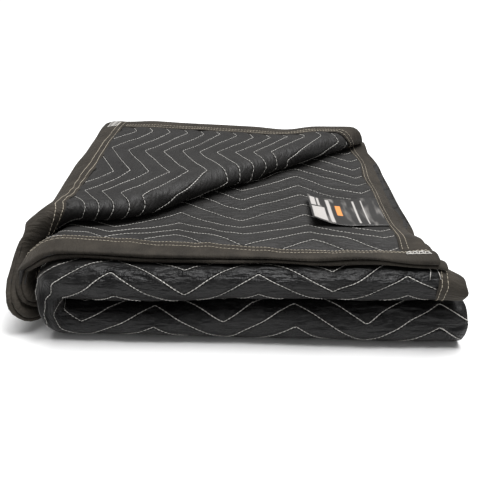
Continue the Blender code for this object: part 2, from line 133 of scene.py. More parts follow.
def foldAcross(v, offset, setback):
    # nose and back folds: straight sections joined by half circles, offset from their middle line
    share = [(v - ends[index]) / sectionLengths[index] for index in range(7)]
    turn = [value * math.pi for value in share]
    middle, centre = 4 * pitch, folds["noseCentre"]
    here = [v <= ends[index + 1] for index in range(6)]
    depth = np.select(here, [
        setback + (backLine - setback) * share[0],
        backLine + (outerRadius + offset) * np.sin(turn[1]),
        backLine + (centre - backLine) * share[2],
        centre - (outerRadius + offset) * np.sin(turn[3]),
        centre + (backLine - centre) * share[4],
        backLine + (innerRadius - offset) * np.sin(turn[5]),
    ], backLine + (setback - backLine) * share[6])
    height = np.select(here, [
        7 * pitch + offset,
        middle + (outerRadius + offset) * np.cos(turn[1]),
        pitch - offset,
        middle - (outerRadius + offset) * np.cos(turn[3]),
        3 * pitch + offset,
        middle - (innerRadius - offset) * np.cos(turn[5]),
    ], 5 * pitch - offset)
    return depth, height


def foldCorner(across, depth, height):
    # turning the corner over a line: a half circle over the line, mirrored beyond it
    start = np.array(corner["start"])
    line = np.array(corner["end"]) - start
    line = line / np.linalg.norm(line)
    out = (line[1], -line[0])
    middle = 7 * pitch + folds["bookGap"]
    centre = middle + halfPitch + halfPly + corner["innerRadius"]
    rollLength = math.pi * (centre - middle)
    beyond = (across - start[0]) * out[0] + (depth - start[1]) * out[1]
    along = (across - start[0]) * line[0] + (depth - start[1]) * line[1]
    turn = np.clip(beyond / rollLength, 0, 1) * math.pi
    reach = centre - height
    flat = np.minimum(beyond, 0) + reach * np.sin(turn) - np.maximum(beyond - rollLength, 0)
    rise = centre - reach * np.cos(turn)
    sink = (2 * corner["innerRadius"] - corner["clearance"]) * ease(-flat / corner["close"])
    rise = np.where(beyond >= rollLength, rise - sink, rise)
    return (start[0] + along * line[0] + flat * out[0], start[1] + along * line[1] + flat * out[1], rise)


def cornerSlide(across, depth):
    # the top layer slides over the left side, most at its front
    fade = between(across, *corner["slideRise"]) * (1 - between(across, *corner["slideFall"]))
    front = bell(depth, corner["slidePlace"], corner["slideSize"])
    return fade * (corner["slideBack"] + corner["slideFront"] * front)


def rollBowing(across, depth):
    # a bell-shaped push to the back at the roll's left end
    (sidePlace, deepPlace), (sideSize, deepSize) = corner["bowPlace"], corner["bowSize"]
    return corner["bow"] * bell(across, sidePlace, sideSize) * bell(depth, deepPlace, deepSize)


def fold(u, v, t):
    # the folded place of flat points: end fold, nose and back folds, corner fold, then the book
    # fold, a half turn of the whole stack about its left side
    u, v, t = (np.asarray(value, dtype=float) for value in np.broadcast_arrays(u, v, t))
    v = np.clip(v, 0.0, ends[-1])
    along, offset = foldEnd(u, t)
    top, second = panelShares(v)
    shares = {"top": top, "second": second, "nose": 1 - top - second}
    end = sum(shares[name] * panelEnds[name] for name in shares)
    wrap = sum(shares[name] * panelWraps[name] for name in shares)
    outer = top + second
    across = end - along
    fromNose = np.maximum(v - ends[4], ends[3] - v)
    slip = folds["slip"] * shares["nose"] * between(fromNose, folds["slipStart"], folds["slipReach"])
    peek = folds["peek"] * between(v, ends[6], ends[6] + folds["peekReach"])
    slip = slip - np.where(u < length / 2, peek, 0)
    across = across - slip * ease(across / folds["slipFade"])
    turn = np.clip(-across / wrap, 0, 1)
    setback = folds["setbackTop"] + folds["slant"] * (folds["slantPlace"] - np.maximum(across, 0))
    setback = setback + (folds["setbackBottom"] - setback) * between(turn, *folds["setbackTurns"])
    depth, height = foldAcross(v, offset, setback)
    height = height + folds["bookGap"]
    inTop = v <= ends[1]
    turned = foldCorner(across, depth, height)
    across, depth, height = (np.where(inTop, new, old)
                             for new, old in zip(turned, (across, depth, height)))
    across = across - top * cornerSlide(across, depth)
    depth = depth + np.where(inTop, rollBowing(across, depth), 0)
    turn = np.clip(-across / wrap, 0, 1)
    late = between(turn, *folds["liftFade"])
    angle = turn * math.pi
    behind = np.maximum(depth - folds["noseCentre"], 0)
    before = np.maximum(folds["noseCentre"] - depth, 0)
    front = 1 - ease(behind / folds["closeTop"])
    topLift = folds["noseLift"] * front - before ** 2 / (2 * folds["droop"])
    bottomLift = folds["noseLift"] * (1 - ease(behind / folds["closeBottom"]))
    isOver = (v > ends[4]) & (v <= ends[5])
    height = height + np.where(inTop | (v > ends[6]), (1 - late) * topLift, 0)
    height = height + outer * folds["layerClearance"] * front * (1 - late)
    wrapped = 1 - between(v, ends[1], ends[2])
    height = height + wrapped * folds["sideClearance"] * np.sin(angle) ** 2
    height = height + np.where(isOver, (1 - late) * topLift + late * bottomLift, 0)
    pinch = 1 - ease((depth - folds["noseCentre"]) / folds["pinchDepth"])
    reach = height - pinch * (top * folds["topPinch"] + (1 - outer) * folds["nosePinch"] * height)
    x = np.maximum(across, 0) + np.maximum(-across - wrap, 0) - reach * np.sin(angle)
    z = bookHeight + height * np.cos(angle)
    y = depth - folds["shear"] * x
    return np.stack((x, y, z), axis=-1)


# The right end and the front of the noses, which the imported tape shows, place the whole stack
tapeLow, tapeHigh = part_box("binding_short_a")
noseFront = folds["noseCentre"] - outerRadius - halfPitch - halfPly - folds["shear"] * panelEnds["nose"]
stackShift = np.array((tapeHigh.x - panelEnds["nose"], tapeLow.y - noseFront, 0.0))


# How the stack has settled. Heights that the front creases and edges rise or sink by, from left to right
settling = {
    "across": (-0.24, -0.17, -0.07, 0.05, 0.15, 0.235, 0.275),
    "crease": (-0.004, -0.007, -0.006, 0.004, 0.003, 0.006, 0.006),
    "edge": (-0.002, -0.001, -0.004, -0.003, -0.001, 0.001, -0.015),
    "creaseHeight": 0.055, "edgeHeight": 0.115, "behind": (-0.14, 0.02),
}
# Small waves all over, fading out at the floor, which presses the lowest millimetres together
wandering = {"size": 0.055, "amount": 0.0024, "fade": 0.03, "seeds": (21, 22, 23), "slopes": (2, 3)}
floorPress = {"height": 0.0040, "share": 0.60}
# The right side: the second layer's binding drops over its edge, the layers under it lie further in
rightSide = {
    "places": (0.08, 0.185, 0.250), "moves": (0.0, 0.008, -0.005), "start": (0.06, 0.10),
    "depths": (-0.19, -0.12, 0.10, 0.20), "heights": (0.080, 0.090),
    "droop": 0.008, "droopPlaces": (0.20, 0.25), "drawIn": 0.026, "drawInPlaces": (-0.05, 0.27),
    "drawInDepths": (-0.17, -0.06), "drawInHeights": (0.050, 0.064),
}
# The left side: its top edge lies further in, its lower front edge further forward beside the noses
leftSide = {
    "bulge": 0.013, "middle": (-0.262, -0.150), "spread": (0.035, 0.040), "heights": (0.092, 0.125),
    "forward": 0.040, "inward": 0.0088, "places": (-0.255, -0.212), "lowHeights": (0.045, 0.085),
    "depths": (-0.17, -0.04),
}
noseEnd = {"push": 0.011, "middle": (-0.232, -0.215, 0.055), "spread": (0.024, 0.045, 0.045)}
# The second layer dips behind its front binding, so that the binding lies flatter
frontDip = {"sink": 0.0090, "depth": -0.194, "size": 0.021, "heights": (0.070, 0.092)}


def easedCurve(x, places, values):
    # values at places, joined by smooth steps
    index = np.clip(np.searchsorted(places, x) - 1, 0, len(places) - 2)
    places, values = np.array(places), np.array(values)
    share = ease((x - places[index]) / (places[index + 1] - places[index]))
    return values[index] * (1 - share) + values[index + 1] * share


def settleFront(x, y, z):
    # how far the front rises at its creases and edges, and dips behind the front binding
    low = easedCurve(x, settling["across"], settling["crease"])
    high = easedCurve(x, settling["across"], settling["edge"])
    rising = np.clip(z / settling["creaseHeight"], 0, 1)
    upper = ease((z - settling["creaseHeight"]) / (settling["edgeHeight"] - settling["creaseHeight"]))
    rise = (low * rising * (1 - upper) + high * upper) * (1 - between(y, *settling["behind"]))
    dip = frontDip["sink"] * bell(y, frontDip["depth"], frontDip["size"])
    return rise - dip * between(z, *frontDip["heights"])


def settleRight(x, y, z):
    # moves to the right, and the drop of the second layer's binding as a negative rise
    depths = rightSide["depths"]
    share = between(y, depths[0], depths[1]) * (1 - between(y, depths[2], depths[3]))
    share = share * between(z, *rightSide["heights"])
    moves = share * easedCurve(x, rightSide["places"], rightSide["moves"]) * between(x, *rightSide["start"])
    inward = between(x, *rightSide["drawInPlaces"]) * between(y, *rightSide["drawInDepths"])
    moves = moves - rightSide["drawIn"] * inward * (1 - between(z, *rightSide["drawInHeights"]))
    return moves, -share * rightSide["droop"] * between(x, *rightSide["droopPlaces"])


def settleLeft(x, y, z):
    # moves to the right and to the back
    middle, spread = leftSide["middle"], leftSide["spread"]
    bulge = bell(x, middle[0], spread[0]) * bell(y, middle[1], spread[1])
    moves = leftSide["bulge"] * bulge * between(z, *leftSide["heights"])
    middle, spread = noseEnd["middle"], noseEnd["spread"]
    bulge = bell(x, middle[0], spread[0]) * bell(y, middle[1], spread[1]) * bell(z, middle[2], spread[2])
    moves = moves + noseEnd["push"] * bulge
    lower = (1 - between(x, *leftSide["places"])) * (1 - between(z, *leftSide["lowHeights"]))
    lower = lower * (1 - between(y, *leftSide["depths"]))
    return moves + leftSide["inward"] * lower, -leftSide["forward"] * lower


def place(u, v, t):
    # folded, set down in the frame, and settled: one smooth bending of the space, for every piece
    points = fold(u, v, t) + stackShift
    x, y, z = points[..., 0], points[..., 1], points[..., 2]
    size, slopes = wandering["size"], wandering["slopes"]
    wander = wandering["amount"] * np.clip(z / wandering["fade"], 0, 1)
    moved = [softNoise(x + slopes[0] * z, y + slopes[1] * z, (size, size), seed) * wander
             for seed in wandering["seeds"]]
    rightMoves, droop = settleRight(x, y, z)
    leftMoves, backward = settleLeft(x, y, z)
    moved[0] = moved[0] + rightMoves + leftMoves
    moved[1] = moved[1] + backward
    moved[2] = moved[2] + settleFront(x, y, z) + droop
    points = points + np.stack(moved, axis=-1)
    low = floorPress["height"]
    pressed = low + (points[..., 2] - low) * floorPress["share"]
    points[..., 2] = np.where(points[..., 2] < low, pressed, points[..., 2])
    return points


def zigzag(u):
    # triangle wave: swing * (1 - 4 |w - round(w)|), its phase moved half a wave along the length
    waves = u / blanket["wave"] - blanket["firstPeak"]
    waves = waves + blanket["shift"] * ease((u - blanket["shiftStart"]) / blanket["shiftLength"])
    return blanket["swing"] * (1 - 4 * np.abs(waves - np.floor(waves + 0.5)))


# Where the rows lie closer together, as on the noses: places across the width, and how many rows
# they are moved by there
rowShift = {"places": (0.0, 0.428, 0.86, 0.97, 1.38), "rows": (-0.5, 3.0, 2.81, 3.89, 3.0)}
shiftPlaces = np.array(rowShift["places"])
shiftedPlaces = shiftPlaces + blanket["rowSpacing"] * np.array(rowShift["rows"])


def rowPhase(u, v):
    # counts the rows across the width: whole numbers lie on a row of stitches
    shifted = np.where(v > shiftPlaces[-1], v + shiftedPlaces[-1] - shiftPlaces[-1],
                       np.interp(v, shiftPlaces, shiftedPlaces))
    return (shifted - zigzag(u)) / blanket["rowSpacing"]


def rowPlace(n, u):
    # where row n lies at u, the inverse of rowPhase
    shifted = n * blanket["rowSpacing"] + zigzag(u)
    return np.where(shifted > shiftedPlaces[-1], shifted - shiftedPlaces[-1] + shiftPlaces[-1],
                    np.interp(shifted, shiftedPlaces, shiftPlaces))


def addToScene(name, data):
    made = bpy.data.objects.new(name, data)
    bpy.context.scene.collection.objects.link(made)
    return made


def facingOut(points, faceArrays):
    # reverses every face if the enclosed volume, the sum of a . (b x c) / 6, comes out negative
    volume = 0.0
    for faces in faceArrays:
        for index in range(1, faces.shape[1] - 1):
            a, b, c = (points[faces[:, k]] for k in (0, index, index + 1))
            volume += float(np.einsum("ij,ij->", a, np.cross(b, c)))
    return faceArrays if volume > 0 else [faces[:, ::-1] for faces in faceArrays]


def makePiece(name, points, faceArrays, uv, material, rows=None):
    # puts whole arrays of points, faces and texture places into a mesh
    faceArrays = facingOut(points, faceArrays)
    loops = np.concatenate([faces.ravel() for faces in faceArrays]).astype(np.int32)
    sizes = np.concatenate([np.full(len(faces), faces.shape[1]) for faces in faceArrays])
    mesh = bpy.data.meshes.new(name)
    mesh.vertices.add(len(points))
    mesh.vertices.foreach_set("co", points.ravel().astype(np.float32))
    mesh.loops.add(len(loops))
    mesh.loops.foreach_set("vertex_index", loops)
    mesh.polygons.add(len(sizes))
    mesh.polygons.foreach_set("loop_start", np.concatenate(([0], np.cumsum(sizes)[:-1])).astype(np.int32))
    mesh.polygons.foreach_set("use_smooth", np.ones(len(sizes), dtype=bool))
    mesh.update(calc_edges=True)
    layer = mesh.uv_layers.new(name="cloth")
    layer.data.foreach_set("uv", uv[loops].ravel().astype(np.float32))
    if rows is not None:
        layer = mesh.uv_layers.new(name="rows")
        layer.data.foreach_set("uv", np.stack((rows, rows * 0), axis=1)[loops].ravel().astype(np.float32))
    mesh.validate()
    mesh.materials.append(material)
    piece = addToScene(name, mesh)
    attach(piece, "root")
    print(name, "made,", int(np.sum(sizes - 2)), "triangles")
    return piece


def stations(*bands):
    # places from band to band, each given as its start, its stop and its spacing
    parts = [np.linspace(start, stop, max(1, round((stop - start) / spacing)), endpoint=False)
             for start, stop, spacing in bands]
    return np.concatenate(parts + [[bands[-1][1]]])


def gridFaces(rows, columns, first=0):
    # quads between neighbouring rows and columns of a grid of points
    start = (np.arange(rows - 1)[:, None] * columns + np.arange(columns - 1)).ravel() + first
    return np.stack((start, start + 1, start + columns + 1, start + columns), axis=1)


class Wire:
    # a socket that can stand in sums and products; every operation adds its node
    def __init__(self, tree, socket):
        self.tree = tree
        self.socket = socket

    def node(self, kind, settings, values, output=0):
        made = self.tree.nodes.new(kind)
        for name, value in settings.items():
            if name == "stops":
                ramp = made.color_ramp.elements
                while len(ramp) < len(value):
                    ramp.new(0.5)
                for element, (position, colour) in zip(ramp, value):
                    element.position = position
                    element.color = colour
            else:
                setattr(made, name, value)
        for name, value in values.items():
            if isinstance(value, Wire):
                self.tree.links.new(value.socket, made.inputs[name])
            else:
                made.inputs[name].default_value = value
        return Wire(self.tree, made.outputs[output])

    def maths(self, operation, *others):
        values = {index: value for index, value in enumerate((self, *others))}
        return self.node("ShaderNodeMath", {"operation": operation}, values)

    def swapped(self, operation, other):
        return self.node("ShaderNodeMath", {"operation": operation}, {0: other, 1: self})

    def __add__(self, other):
        return self.maths("ADD", other)

    __radd__ = __add__

    def __mul__(self, other):
        return self.maths("MULTIPLY", other)

    def __sub__(self, other):
        return self.maths("SUBTRACT", other)

    def __rsub__(self, other):
        return self.swapped("SUBTRACT", other)

    def __abs__(self):
        return self.maths("ABSOLUTE")

    def ramped(self, start, stop):
        # smooth step from 0 at start to 1 at stop
        settings = {"interpolation_type": "SMOOTHSTEP"}
        return self.node("ShaderNodeMapRange", settings, {0: self, 1: start, 2: stop, 3: 0.0, 4: 1.0})

    def noise(self, scale, detail=2.0, roughness=0.5):
        values = {"Vector": self, "Scale": scale, "Detail": detail, "Roughness": roughness}
        return self.node("ShaderNodeTexNoise", {}, values)

    def stretched(self, x, y, z=1.0):
        return self.node("ShaderNodeVectorMath", {"operation": "MULTIPLY"}, {0: self, 1: (x, y, z)})

    def mixed(self, first, second):
        # this wire is the share of the second colour
        node = self.tree.nodes.new("ShaderNodeMix")
        node.data_type = "RGBA"
        for index, value in ((0, self), (6, first), (7, second)):
            if isinstance(value, Wire):
                self.tree.links.new(value.socket, node.inputs[index])
            else:
                node.inputs[index].default_value = value
        return Wire(self.tree, node.outputs[2])


def newMaterial(name, constants):
    material = bpy.data.materials.new(name)
    material.use_nodes = True
    tree = material.node_tree
    shader = tree.nodes["Principled BSDF"]
    for socket, value in constants.items():
        shader.inputs[socket].default_value = value
    uv = Wire(tree, tree.nodes.new("ShaderNodeUVMap").outputs[0])
    uv.socket.node.uv_map = "cloth"
    solid = Wire(tree, tree.nodes.new("ShaderNodeTexCoord").outputs["Object"])
    return material, shader, uv, solid


def connect(shader, name, wire):
    wire.tree.links.new(wire.socket, shader.inputs[name])


def bumped(height, distance, strength, normal=None):
    values = {"Height": height, "Distance": distance, "Strength": strength}
    if normal is not None:
        values["Normal"] = normal
    return height.node("ShaderNodeBump", {}, values)


# Near-black matte cloth, darkened with painted shade along its rows and on the noses, where it is also
# silkier and creased
clothLook = {
    "dark": (0.0030, 0.0030, 0.0034, 1), "pale": (0.042, 0.0405, 0.0390, 1),
    # the row and nose shares are painted shade: darker colour in the grooves along the rows and on the
    # noses
    "shares": {"patches": 0.45, "mottle": 0.35, "weave": 0.5, "base": -0.15, "row": -0.25, "nose": -0.42},
    "weave": 1150.0, "weaveStretch": (1.0, 0.55), "patches": 17.0, "mottle": 95.0,
    "nearRow": 0.10, "wideRow": 0.42, "noseStart": (0.85, 0.90), "noseEnd": (1.0, 1.06),
    "noseSide": (1.02, 1.10), "roughness": {"base": 0.42, "patches": 0.24, "nose": -0.12},
    "puckers": (330.0, 75.0), "crinkle": (70.0, 230.0), "creases": (14.0, 60.0),
    "heights": {"puckers": 1.1, "row": -0.5, "creases": 4.0}, "relief": 0.0026,
    "weaveRelief": 0.00016, "weaveStrength": 0.55,
    "constants": {"Roughness": 0.6, "Sheen Weight": 0.03, "Sheen Roughness": 0.45,
                  "Sheen Tint": (1.0, 0.93, 0.84, 1), "Specular IOR Level": 0.22},
}


def makeClothMaterial():
    look = clothLook
    material, shader, uv, solid = newMaterial("quiltedCloth", look["constants"])
    u = uv.node("ShaderNodeSeparateXYZ", {}, {"Vector": uv}, 0)
    v = uv.node("ShaderNodeSeparateXYZ", {}, {"Vector": uv}, 1)
    rows = uv.node("ShaderNodeUVMap", {"uv_map": "rows"}, {})
    phase = uv.node("ShaderNodeSeparateXYZ", {}, {"Vector": rows}, 0)
    # closeness to a row of stitches: a mask for painted shade in the colour and for a dent in the bump
    fromRow = 0.5 - abs(phase - phase.maths("FLOOR") - 0.5)
    near = 1 - fromRow.ramped(0.0, look["nearRow"])
    wide = 1 - fromRow.ramped(0.0, look["wideRow"])
    weave = uv.stretched(*look["weaveStretch"]).noise(look["weave"], detail=2.0, roughness=0.6)
    patches = solid.noise(look["patches"], detail=3.0, roughness=0.6)
    mottle = solid.noise(look["mottle"], detail=3.0, roughness=0.65)
    # the noses' mask: painted shade in the colour, lower roughness and crease bumps
    nose = v.ramped(*look["noseStart"]) * (1 - v.ramped(*look["noseEnd"]))
    nose = nose * (1 - u.ramped(*look["noseSide"]))
    shares = look["shares"]
    share = patches * shares["patches"] + mottle * shares["mottle"] + weave * shares["weave"]
    # painted shade: the colour is darkened near the rows and on the noses
    share = share + shares["base"] + near * shares["row"] + nose * shares["nose"]
    connect(shader, "Base Color", share.mixed(look["dark"], look["pale"]))
    rough = look["roughness"]
    connect(shader, "Roughness", patches * rough["patches"] + rough["base"] + nose * rough["nose"])
    puckers = uv.stretched(*look["puckers"]).noise(1.0, detail=2.0, roughness=0.55)
    crinkle = uv.stretched(*look["crinkle"]).noise(1.0, detail=3.0, roughness=0.6)
    creases = uv.stretched(*look["creases"]).noise(1.0, detail=3.0, roughness=0.55)
    heights = look["heights"]
    height = puckers * wide * heights["puckers"] + crinkle + near * heights["row"]
    height = height + creases * nose * heights["creases"]
    normal = bumped(height, look["relief"], 1.0)
    connect(shader, "Normal", bumped(weave, look["weaveRelief"], look["weaveStrength"], normal))
    return material


# Dark brown binding tape, patchy and puckered
tapeLook = {
    "dark": (0.0030, 0.0026, 0.0020, 1), "pale": (0.066, 0.056, 0.044, 1),
    "shares": {"patches": 0.8, "weave": 0.6, "base": -0.29}, "weave": 900.0, "patches": 38.0,
    "puckers": (260.0, 60.0), "relief": 0.0026, "weaveRelief": 0.00018, "weaveStrength": 0.6,
    "constants": {"Roughness": 0.80, "Sheen Weight": 0.04, "Sheen Roughness": 0.5,
                  "Sheen Tint": (1.0, 0.9, 0.78, 1), "Specular IOR Level": 0.25},
}


def makeTapeMaterial():
    look, shares = tapeLook, tapeLook["shares"]
    material, shader, uv, solid = newMaterial("bindingTape", look["constants"])
    weave = uv.noise(look["weave"], detail=2.0, roughness=0.6)
    patches = solid.noise(look["patches"], detail=3.0, roughness=0.6)
    share = patches * shares["patches"] + weave * shares["weave"] + shares["base"]
    connect(shader, "Base Color", share.mixed(look["dark"], look["pale"]))
    puckers = uv.stretched(*look["puckers"]).noise(1.0, detail=3.0, roughness=0.6)
    normal = bumped(puckers, look["relief"], 1.0)
    connect(shader, "Normal", bumped(weave, look["weaveRelief"], look["weaveStrength"], normal))
    return material


# Thread of a slightly uneven tone, with a fine twist
threadLook = {"tone": 260.0, "twist": 2600.0, "relief": 0.0001, "strength": 0.4,
              "constants": {"Roughness": 0.62, "Specular IOR Level": 0.35}}


def makeThreadMaterial(name, dark, pale):
    look = threadLook
    material, shader, uv, solid = newMaterial(name, look["constants"])
    connect(shader, "Base Color", solid.noise(look["tone"], detail=2.0, roughness=0.5).mixed(dark, pale))
    twist = solid.noise(look["twist"], detail=1.0, roughness=0.5)
    connect(shader, "Normal", bumped(twist, look["relief"], look["strength"]))
    return material


clothMaterial = makeClothMaterial()
tapeMaterial = makeTapeMaterial()
rowThread = makeThreadMaterial("rowThread", (0.38, 0.37, 0.35, 1), (0.74, 0.72, 0.68, 1))
tapeThread = makeThreadMaterial("tapeThread", (0.30, 0.26, 0.20, 1), (0.62, 0.56, 0.46, 1))
tackThread = makeThreadMaterial("tackThread", (0.50, 0.48, 0.45, 1), (0.90, 0.88, 0.84, 1))
print("materials made")

# The quilted panel: fine where a layer shows, coarse where layers lie on each other
panel = {
    "edge": 0.0014, "tuck": 0.0011, "tuckReach": (0.026, 0.034), "puff": 0.0013, "skip": 4,
    "uBands": ((0.0014, 0.34, 0.0056), (0.34, 0.66, 0.0050), (0.66, 1.03, 0.0056),
               (1.03, 1.44, 0.016), (1.44, 2.0306, 0.0048)),
    "vBands": ((0.0014, 0.44, 0.0054), (0.44, 0.52, 0.0065), (0.52, 0.875, 0.013),
               (0.875, 1.0, 0.0034), (1.0, 1.38, 0.016), (1.38, 1.8276, 0.0052)),
    "crease": 0.0010, "creaseSizes": (0.085, 0.017), "creaseSeed": 3,
    "wrinkle": 0.0006, "wrinkleSizes": (0.014, 0.030), "wrinkleSeed": 5, "wrinkleCalm": 0.6,
}


def faceHeight(u, v):
    # the puffed face: half a ply, less a parabolic trough along each row, plus soft wrinkles,
    # and tucked in under the tapes
    phase = rowPhase(u, v)
    fromRow = 2 * (0.5 - np.abs(phase - np.floor(phase) - 0.5))
    trough = panel["puff"] * (1 - fromRow) ** 2
    soft = panel["crease"] * softNoise(u, v, panel["creaseSizes"], panel["creaseSeed"])
    wrinkles = panel["wrinkle"] * softNoise(u, v, panel["wrinkleSizes"], panel["wrinkleSeed"])
    soft = soft + wrinkles * (1 - panel["wrinkleCalm"] * fromRow)
    fromEdge = np.minimum(np.minimum(u, length - u), np.minimum(v, width - v))
    inside = between(fromEdge, *panel["tuckReach"])
    return halfPly - panel["tuck"] * (1 - inside) + (soft - trough) * inside


def makePanel():
    us, vs = stations(*panel["uBands"]), stations(*panel["vBands"])
    v, u = np.meshgrid(vs, us, indexing="ij")
    outside = place(u, v, faceHeight(u, v)).reshape(-1, 3)
    pickU = np.unique(np.round(np.linspace(0, len(us) - 1, len(us) // panel["skip"])).astype(int))
    pickV = np.unique(np.round(np.linspace(0, len(vs) - 1, len(vs) // panel["skip"])).astype(int))
    innerV, innerU = np.meshgrid(vs[pickV], us[pickU], indexing="ij")
    inner = place(innerU, innerV, panel["tuck"] - halfPly).reshape(-1, 3)
    first, rows, columns = len(outside), len(pickV), len(pickU)
    rims = []
    for fine, coarse, picks, flip in (
            (np.arange(len(us)), np.arange(columns), pickU, True),
            (np.arange(len(us)) + (len(vs) - 1) * len(us), np.arange(columns) + (rows - 1) * columns,
             pickU, False),
            (np.arange(len(vs)) * len(us), np.arange(rows) * columns, pickV, False),
            (np.arange(len(vs)) * len(us) + len(us) - 1, np.arange(rows) * columns + columns - 1,
             pickV, True)):
        owner = np.searchsorted(picks, np.arange(len(fine) - 1), side="right") - 1
        fans = np.stack((fine[:-1], fine[1:], coarse[owner] + first), axis=1)
        links = np.stack((coarse[:-1] + first, fine[picks[1:]], coarse[1:] + first), axis=1)
        rim = np.concatenate((fans, links))
        rims.append(rim[:, ::-1] if flip else rim)
    faces = [gridFaces(len(vs), len(us)), gridFaces(rows, columns, first)[:, ::-1], *rims]
    uv = np.concatenate((np.stack((u.ravel(), v.ravel()), axis=1),
                         np.stack((innerU.ravel(), innerV.ravel()), axis=1)))
    return makePiece("quilted_cloth", np.concatenate((outside, inner)), faces, uv, clothMaterial,
                     rowPhase(uv[:, 0], uv[:, 1]))


cloth = makePanel()

# Binding tapes: a strip folded round the edge, its lips sewn down with two rows of stitches
tape = {
    "height": halfPly + 0.0004, "round": 0.0026, "crown": 0.0004, "wall": 0.0007, "step": 0.0055,
    "ripple": 0.0011, "rippleSizes": (0.016, 0.030), "rippleSeed": 11, "rippleReach": (0.002, 0.02),
    "lip": 0.0011, "lipReach": (0.0320, 0.0334), "rows": (0.0303, 0.0238), "inset": 0.0325,
    "outer": (0.0334, 0.0331, 0.0310, 0.0275, 0.0225, 0.0170, 0.0110, 0.0060, 0.0026, 0.0012, 0.0003),
    "inner": (0.0328, 0.0200, 0.0060, 0.0030),
}
tapeEdges = {
    "tape_long_a": {"along": "u", "far": False, "span": (0.0, length), "node": "binding_long_a"},
    "tape_long_b": {"along": "u", "far": True, "span": (0.0, length), "node": "binding_long_b"},
    "tape_short_a": {"along": "v", "far": False, "span": (tape["inset"], width - tape["inset"]),
                     "node": "binding_short_a"},
    "tape_short_b": {"along": "v", "far": True, "span": (tape["inset"], width - tape["inset"]),
                     "node": "binding_short_b"},
}


def flatPlace(edge, s, w):
    # s runs along the edge and w inwards from it
    if edge["along"] == "u":
        return s, (width - w if edge["far"] else w)
    return (length - w if edge["far"] else w), s


def tapeHeight(w):
    # a quarter ellipse over the edge, then a low crown that falls to the lip
    rounded = np.sqrt(np.clip(1 - ((tape["round"] - w) / tape["round"]) ** 2, 0, 1))
    rounded = np.where(w >= tape["round"], 1.0, rounded)
    crown = tape["crown"] * np.sin(np.clip(w / blanket["tape"], 0, 1) * math.pi)
    lip = tape["lip"] * between(w, *tape["lipReach"])
    return tape["height"] * rounded + crown - lip


def tapeRipple(u, v):
    return softNoise(u, v, tape["rippleSizes"], tape["rippleSeed"]) * tape["ripple"]


def makeTape(name, edge):
    count = round((edge["span"][1] - edge["span"][0]) / tape["step"])
    s = np.linspace(*edge["span"], count + 1)
    outer, inner = np.array(tape["outer"]), np.array(tape["inner"])
    w = np.concatenate((outer, [0.0], outer[::-1], inner, [tape["round"]], inner[::-1]))
    t = np.concatenate((tapeHeight(outer), [0.0], -tapeHeight(outer[::-1])))
    inside = np.full(len(inner), tape["height"] - tape["wall"])
    t = np.concatenate((t, -inside, [0.0], inside))
    s, w = np.meshgrid(s, w, indexing="ij")
    t = np.broadcast_to(t, s.shape)
    u, v = flatPlace(edge, s, w)
    t = t + tapeRipple(u, v) * between(w, *tape["rippleReach"]) * np.sign(t)
    points = place(u, v, t).reshape(-1, 3)
    rows, columns = s.shape
    start = (np.arange(rows - 1)[:, None] * columns + np.arange(columns)).ravel()
    after = (np.arange(rows - 1)[:, None] * columns + (np.arange(columns) + 1) % columns).ravel()
    sides = np.stack((start, after, after + columns, start + columns), axis=1)
    caps = [np.arange(columns)[None, ::-1], (np.arange(columns) + (rows - 1) * columns)[None]]
    uv = np.stack((s.ravel(), w.ravel()), axis=1)
    return makePiece(name, points, [sides, *caps], uv, tapeMaterial)


tapes = {name: makeTape(name, edge) for name, edge in tapeEdges.items()}


stitchTaper = 0.55


def makeStitches(name, starts, stops, heights, thread, material):
    # each stitch is a small diamond tube over three rings, sunk at both ends and raised between
    shares = np.array((0.0, 0.5, 1.0))[None, :, None]
    centre = starts[:, None, :] * (1 - shares) + stops[:, None, :] * shares
    run = stops - starts
    side = np.stack((-run[:, 1], run[:, 0]), axis=1)
    side = side / np.linalg.norm(side, axis=1, keepdims=True)
    swell = np.array((stitchTaper, 1.0, stitchTaper))[None, :, None]
    across = np.array((1.0, 0.0, -1.0, 0.0))[None, None, :] * swell * thread["half"]
    upward = np.array((0.0, 1.0, 0.0, -1.0))[None, None, :] * swell * thread["half"]
    lift = np.array((-thread["sink"], thread["lift"], -thread["sink"]))[None, :, None]
    u = centre[:, :, None, 0] + across * side[:, None, None, 0]
    v = centre[:, :, None, 1] + across * side[:, None, None, 1]
    t = heights[:, None, None] + lift + upward
    points = place(u, v, t).reshape(-1, 3)
    base = (np.arange(len(starts)) * 12)[:, None]
    faces = []
    for ring in (0, 4):
        for index in range(4):
            following = (index + 1) % 4
            corners = (ring + index, ring + following, ring + 4 + following, ring + 4 + index)
            faces.append(base + np.array(corners))
    faces += [base + np.array((3, 2, 1, 0)), base + np.array((8, 9, 10, 11))]
    uv = np.stack((u.ravel(), v.ravel()), axis=1)
    return makePiece(name, points, [np.concatenate(faces)], uv, material)


# Zigzag rows of stitches, where the cloth shows from outside
quilting = {"pitch": 0.0040, "cover": 0.93, "half": 0.00046, "lift": 0.00060, "sink": -0.00030}
rowWindows = {
    "noses": (0.034, 1.035, 0.868, 1.005), "second": (1.43, 1.998, 1.40, 1.7955),
    "flap": (1.50, 1.998, 0.0338, 0.43), "wrap": (0.34, 0.66, 0.0338, 0.45),
    "backFold": (0.034, 1.0, 0.43, 0.50), "endFolds": (0.985, 1.05, 0.0338, 1.7955),
}


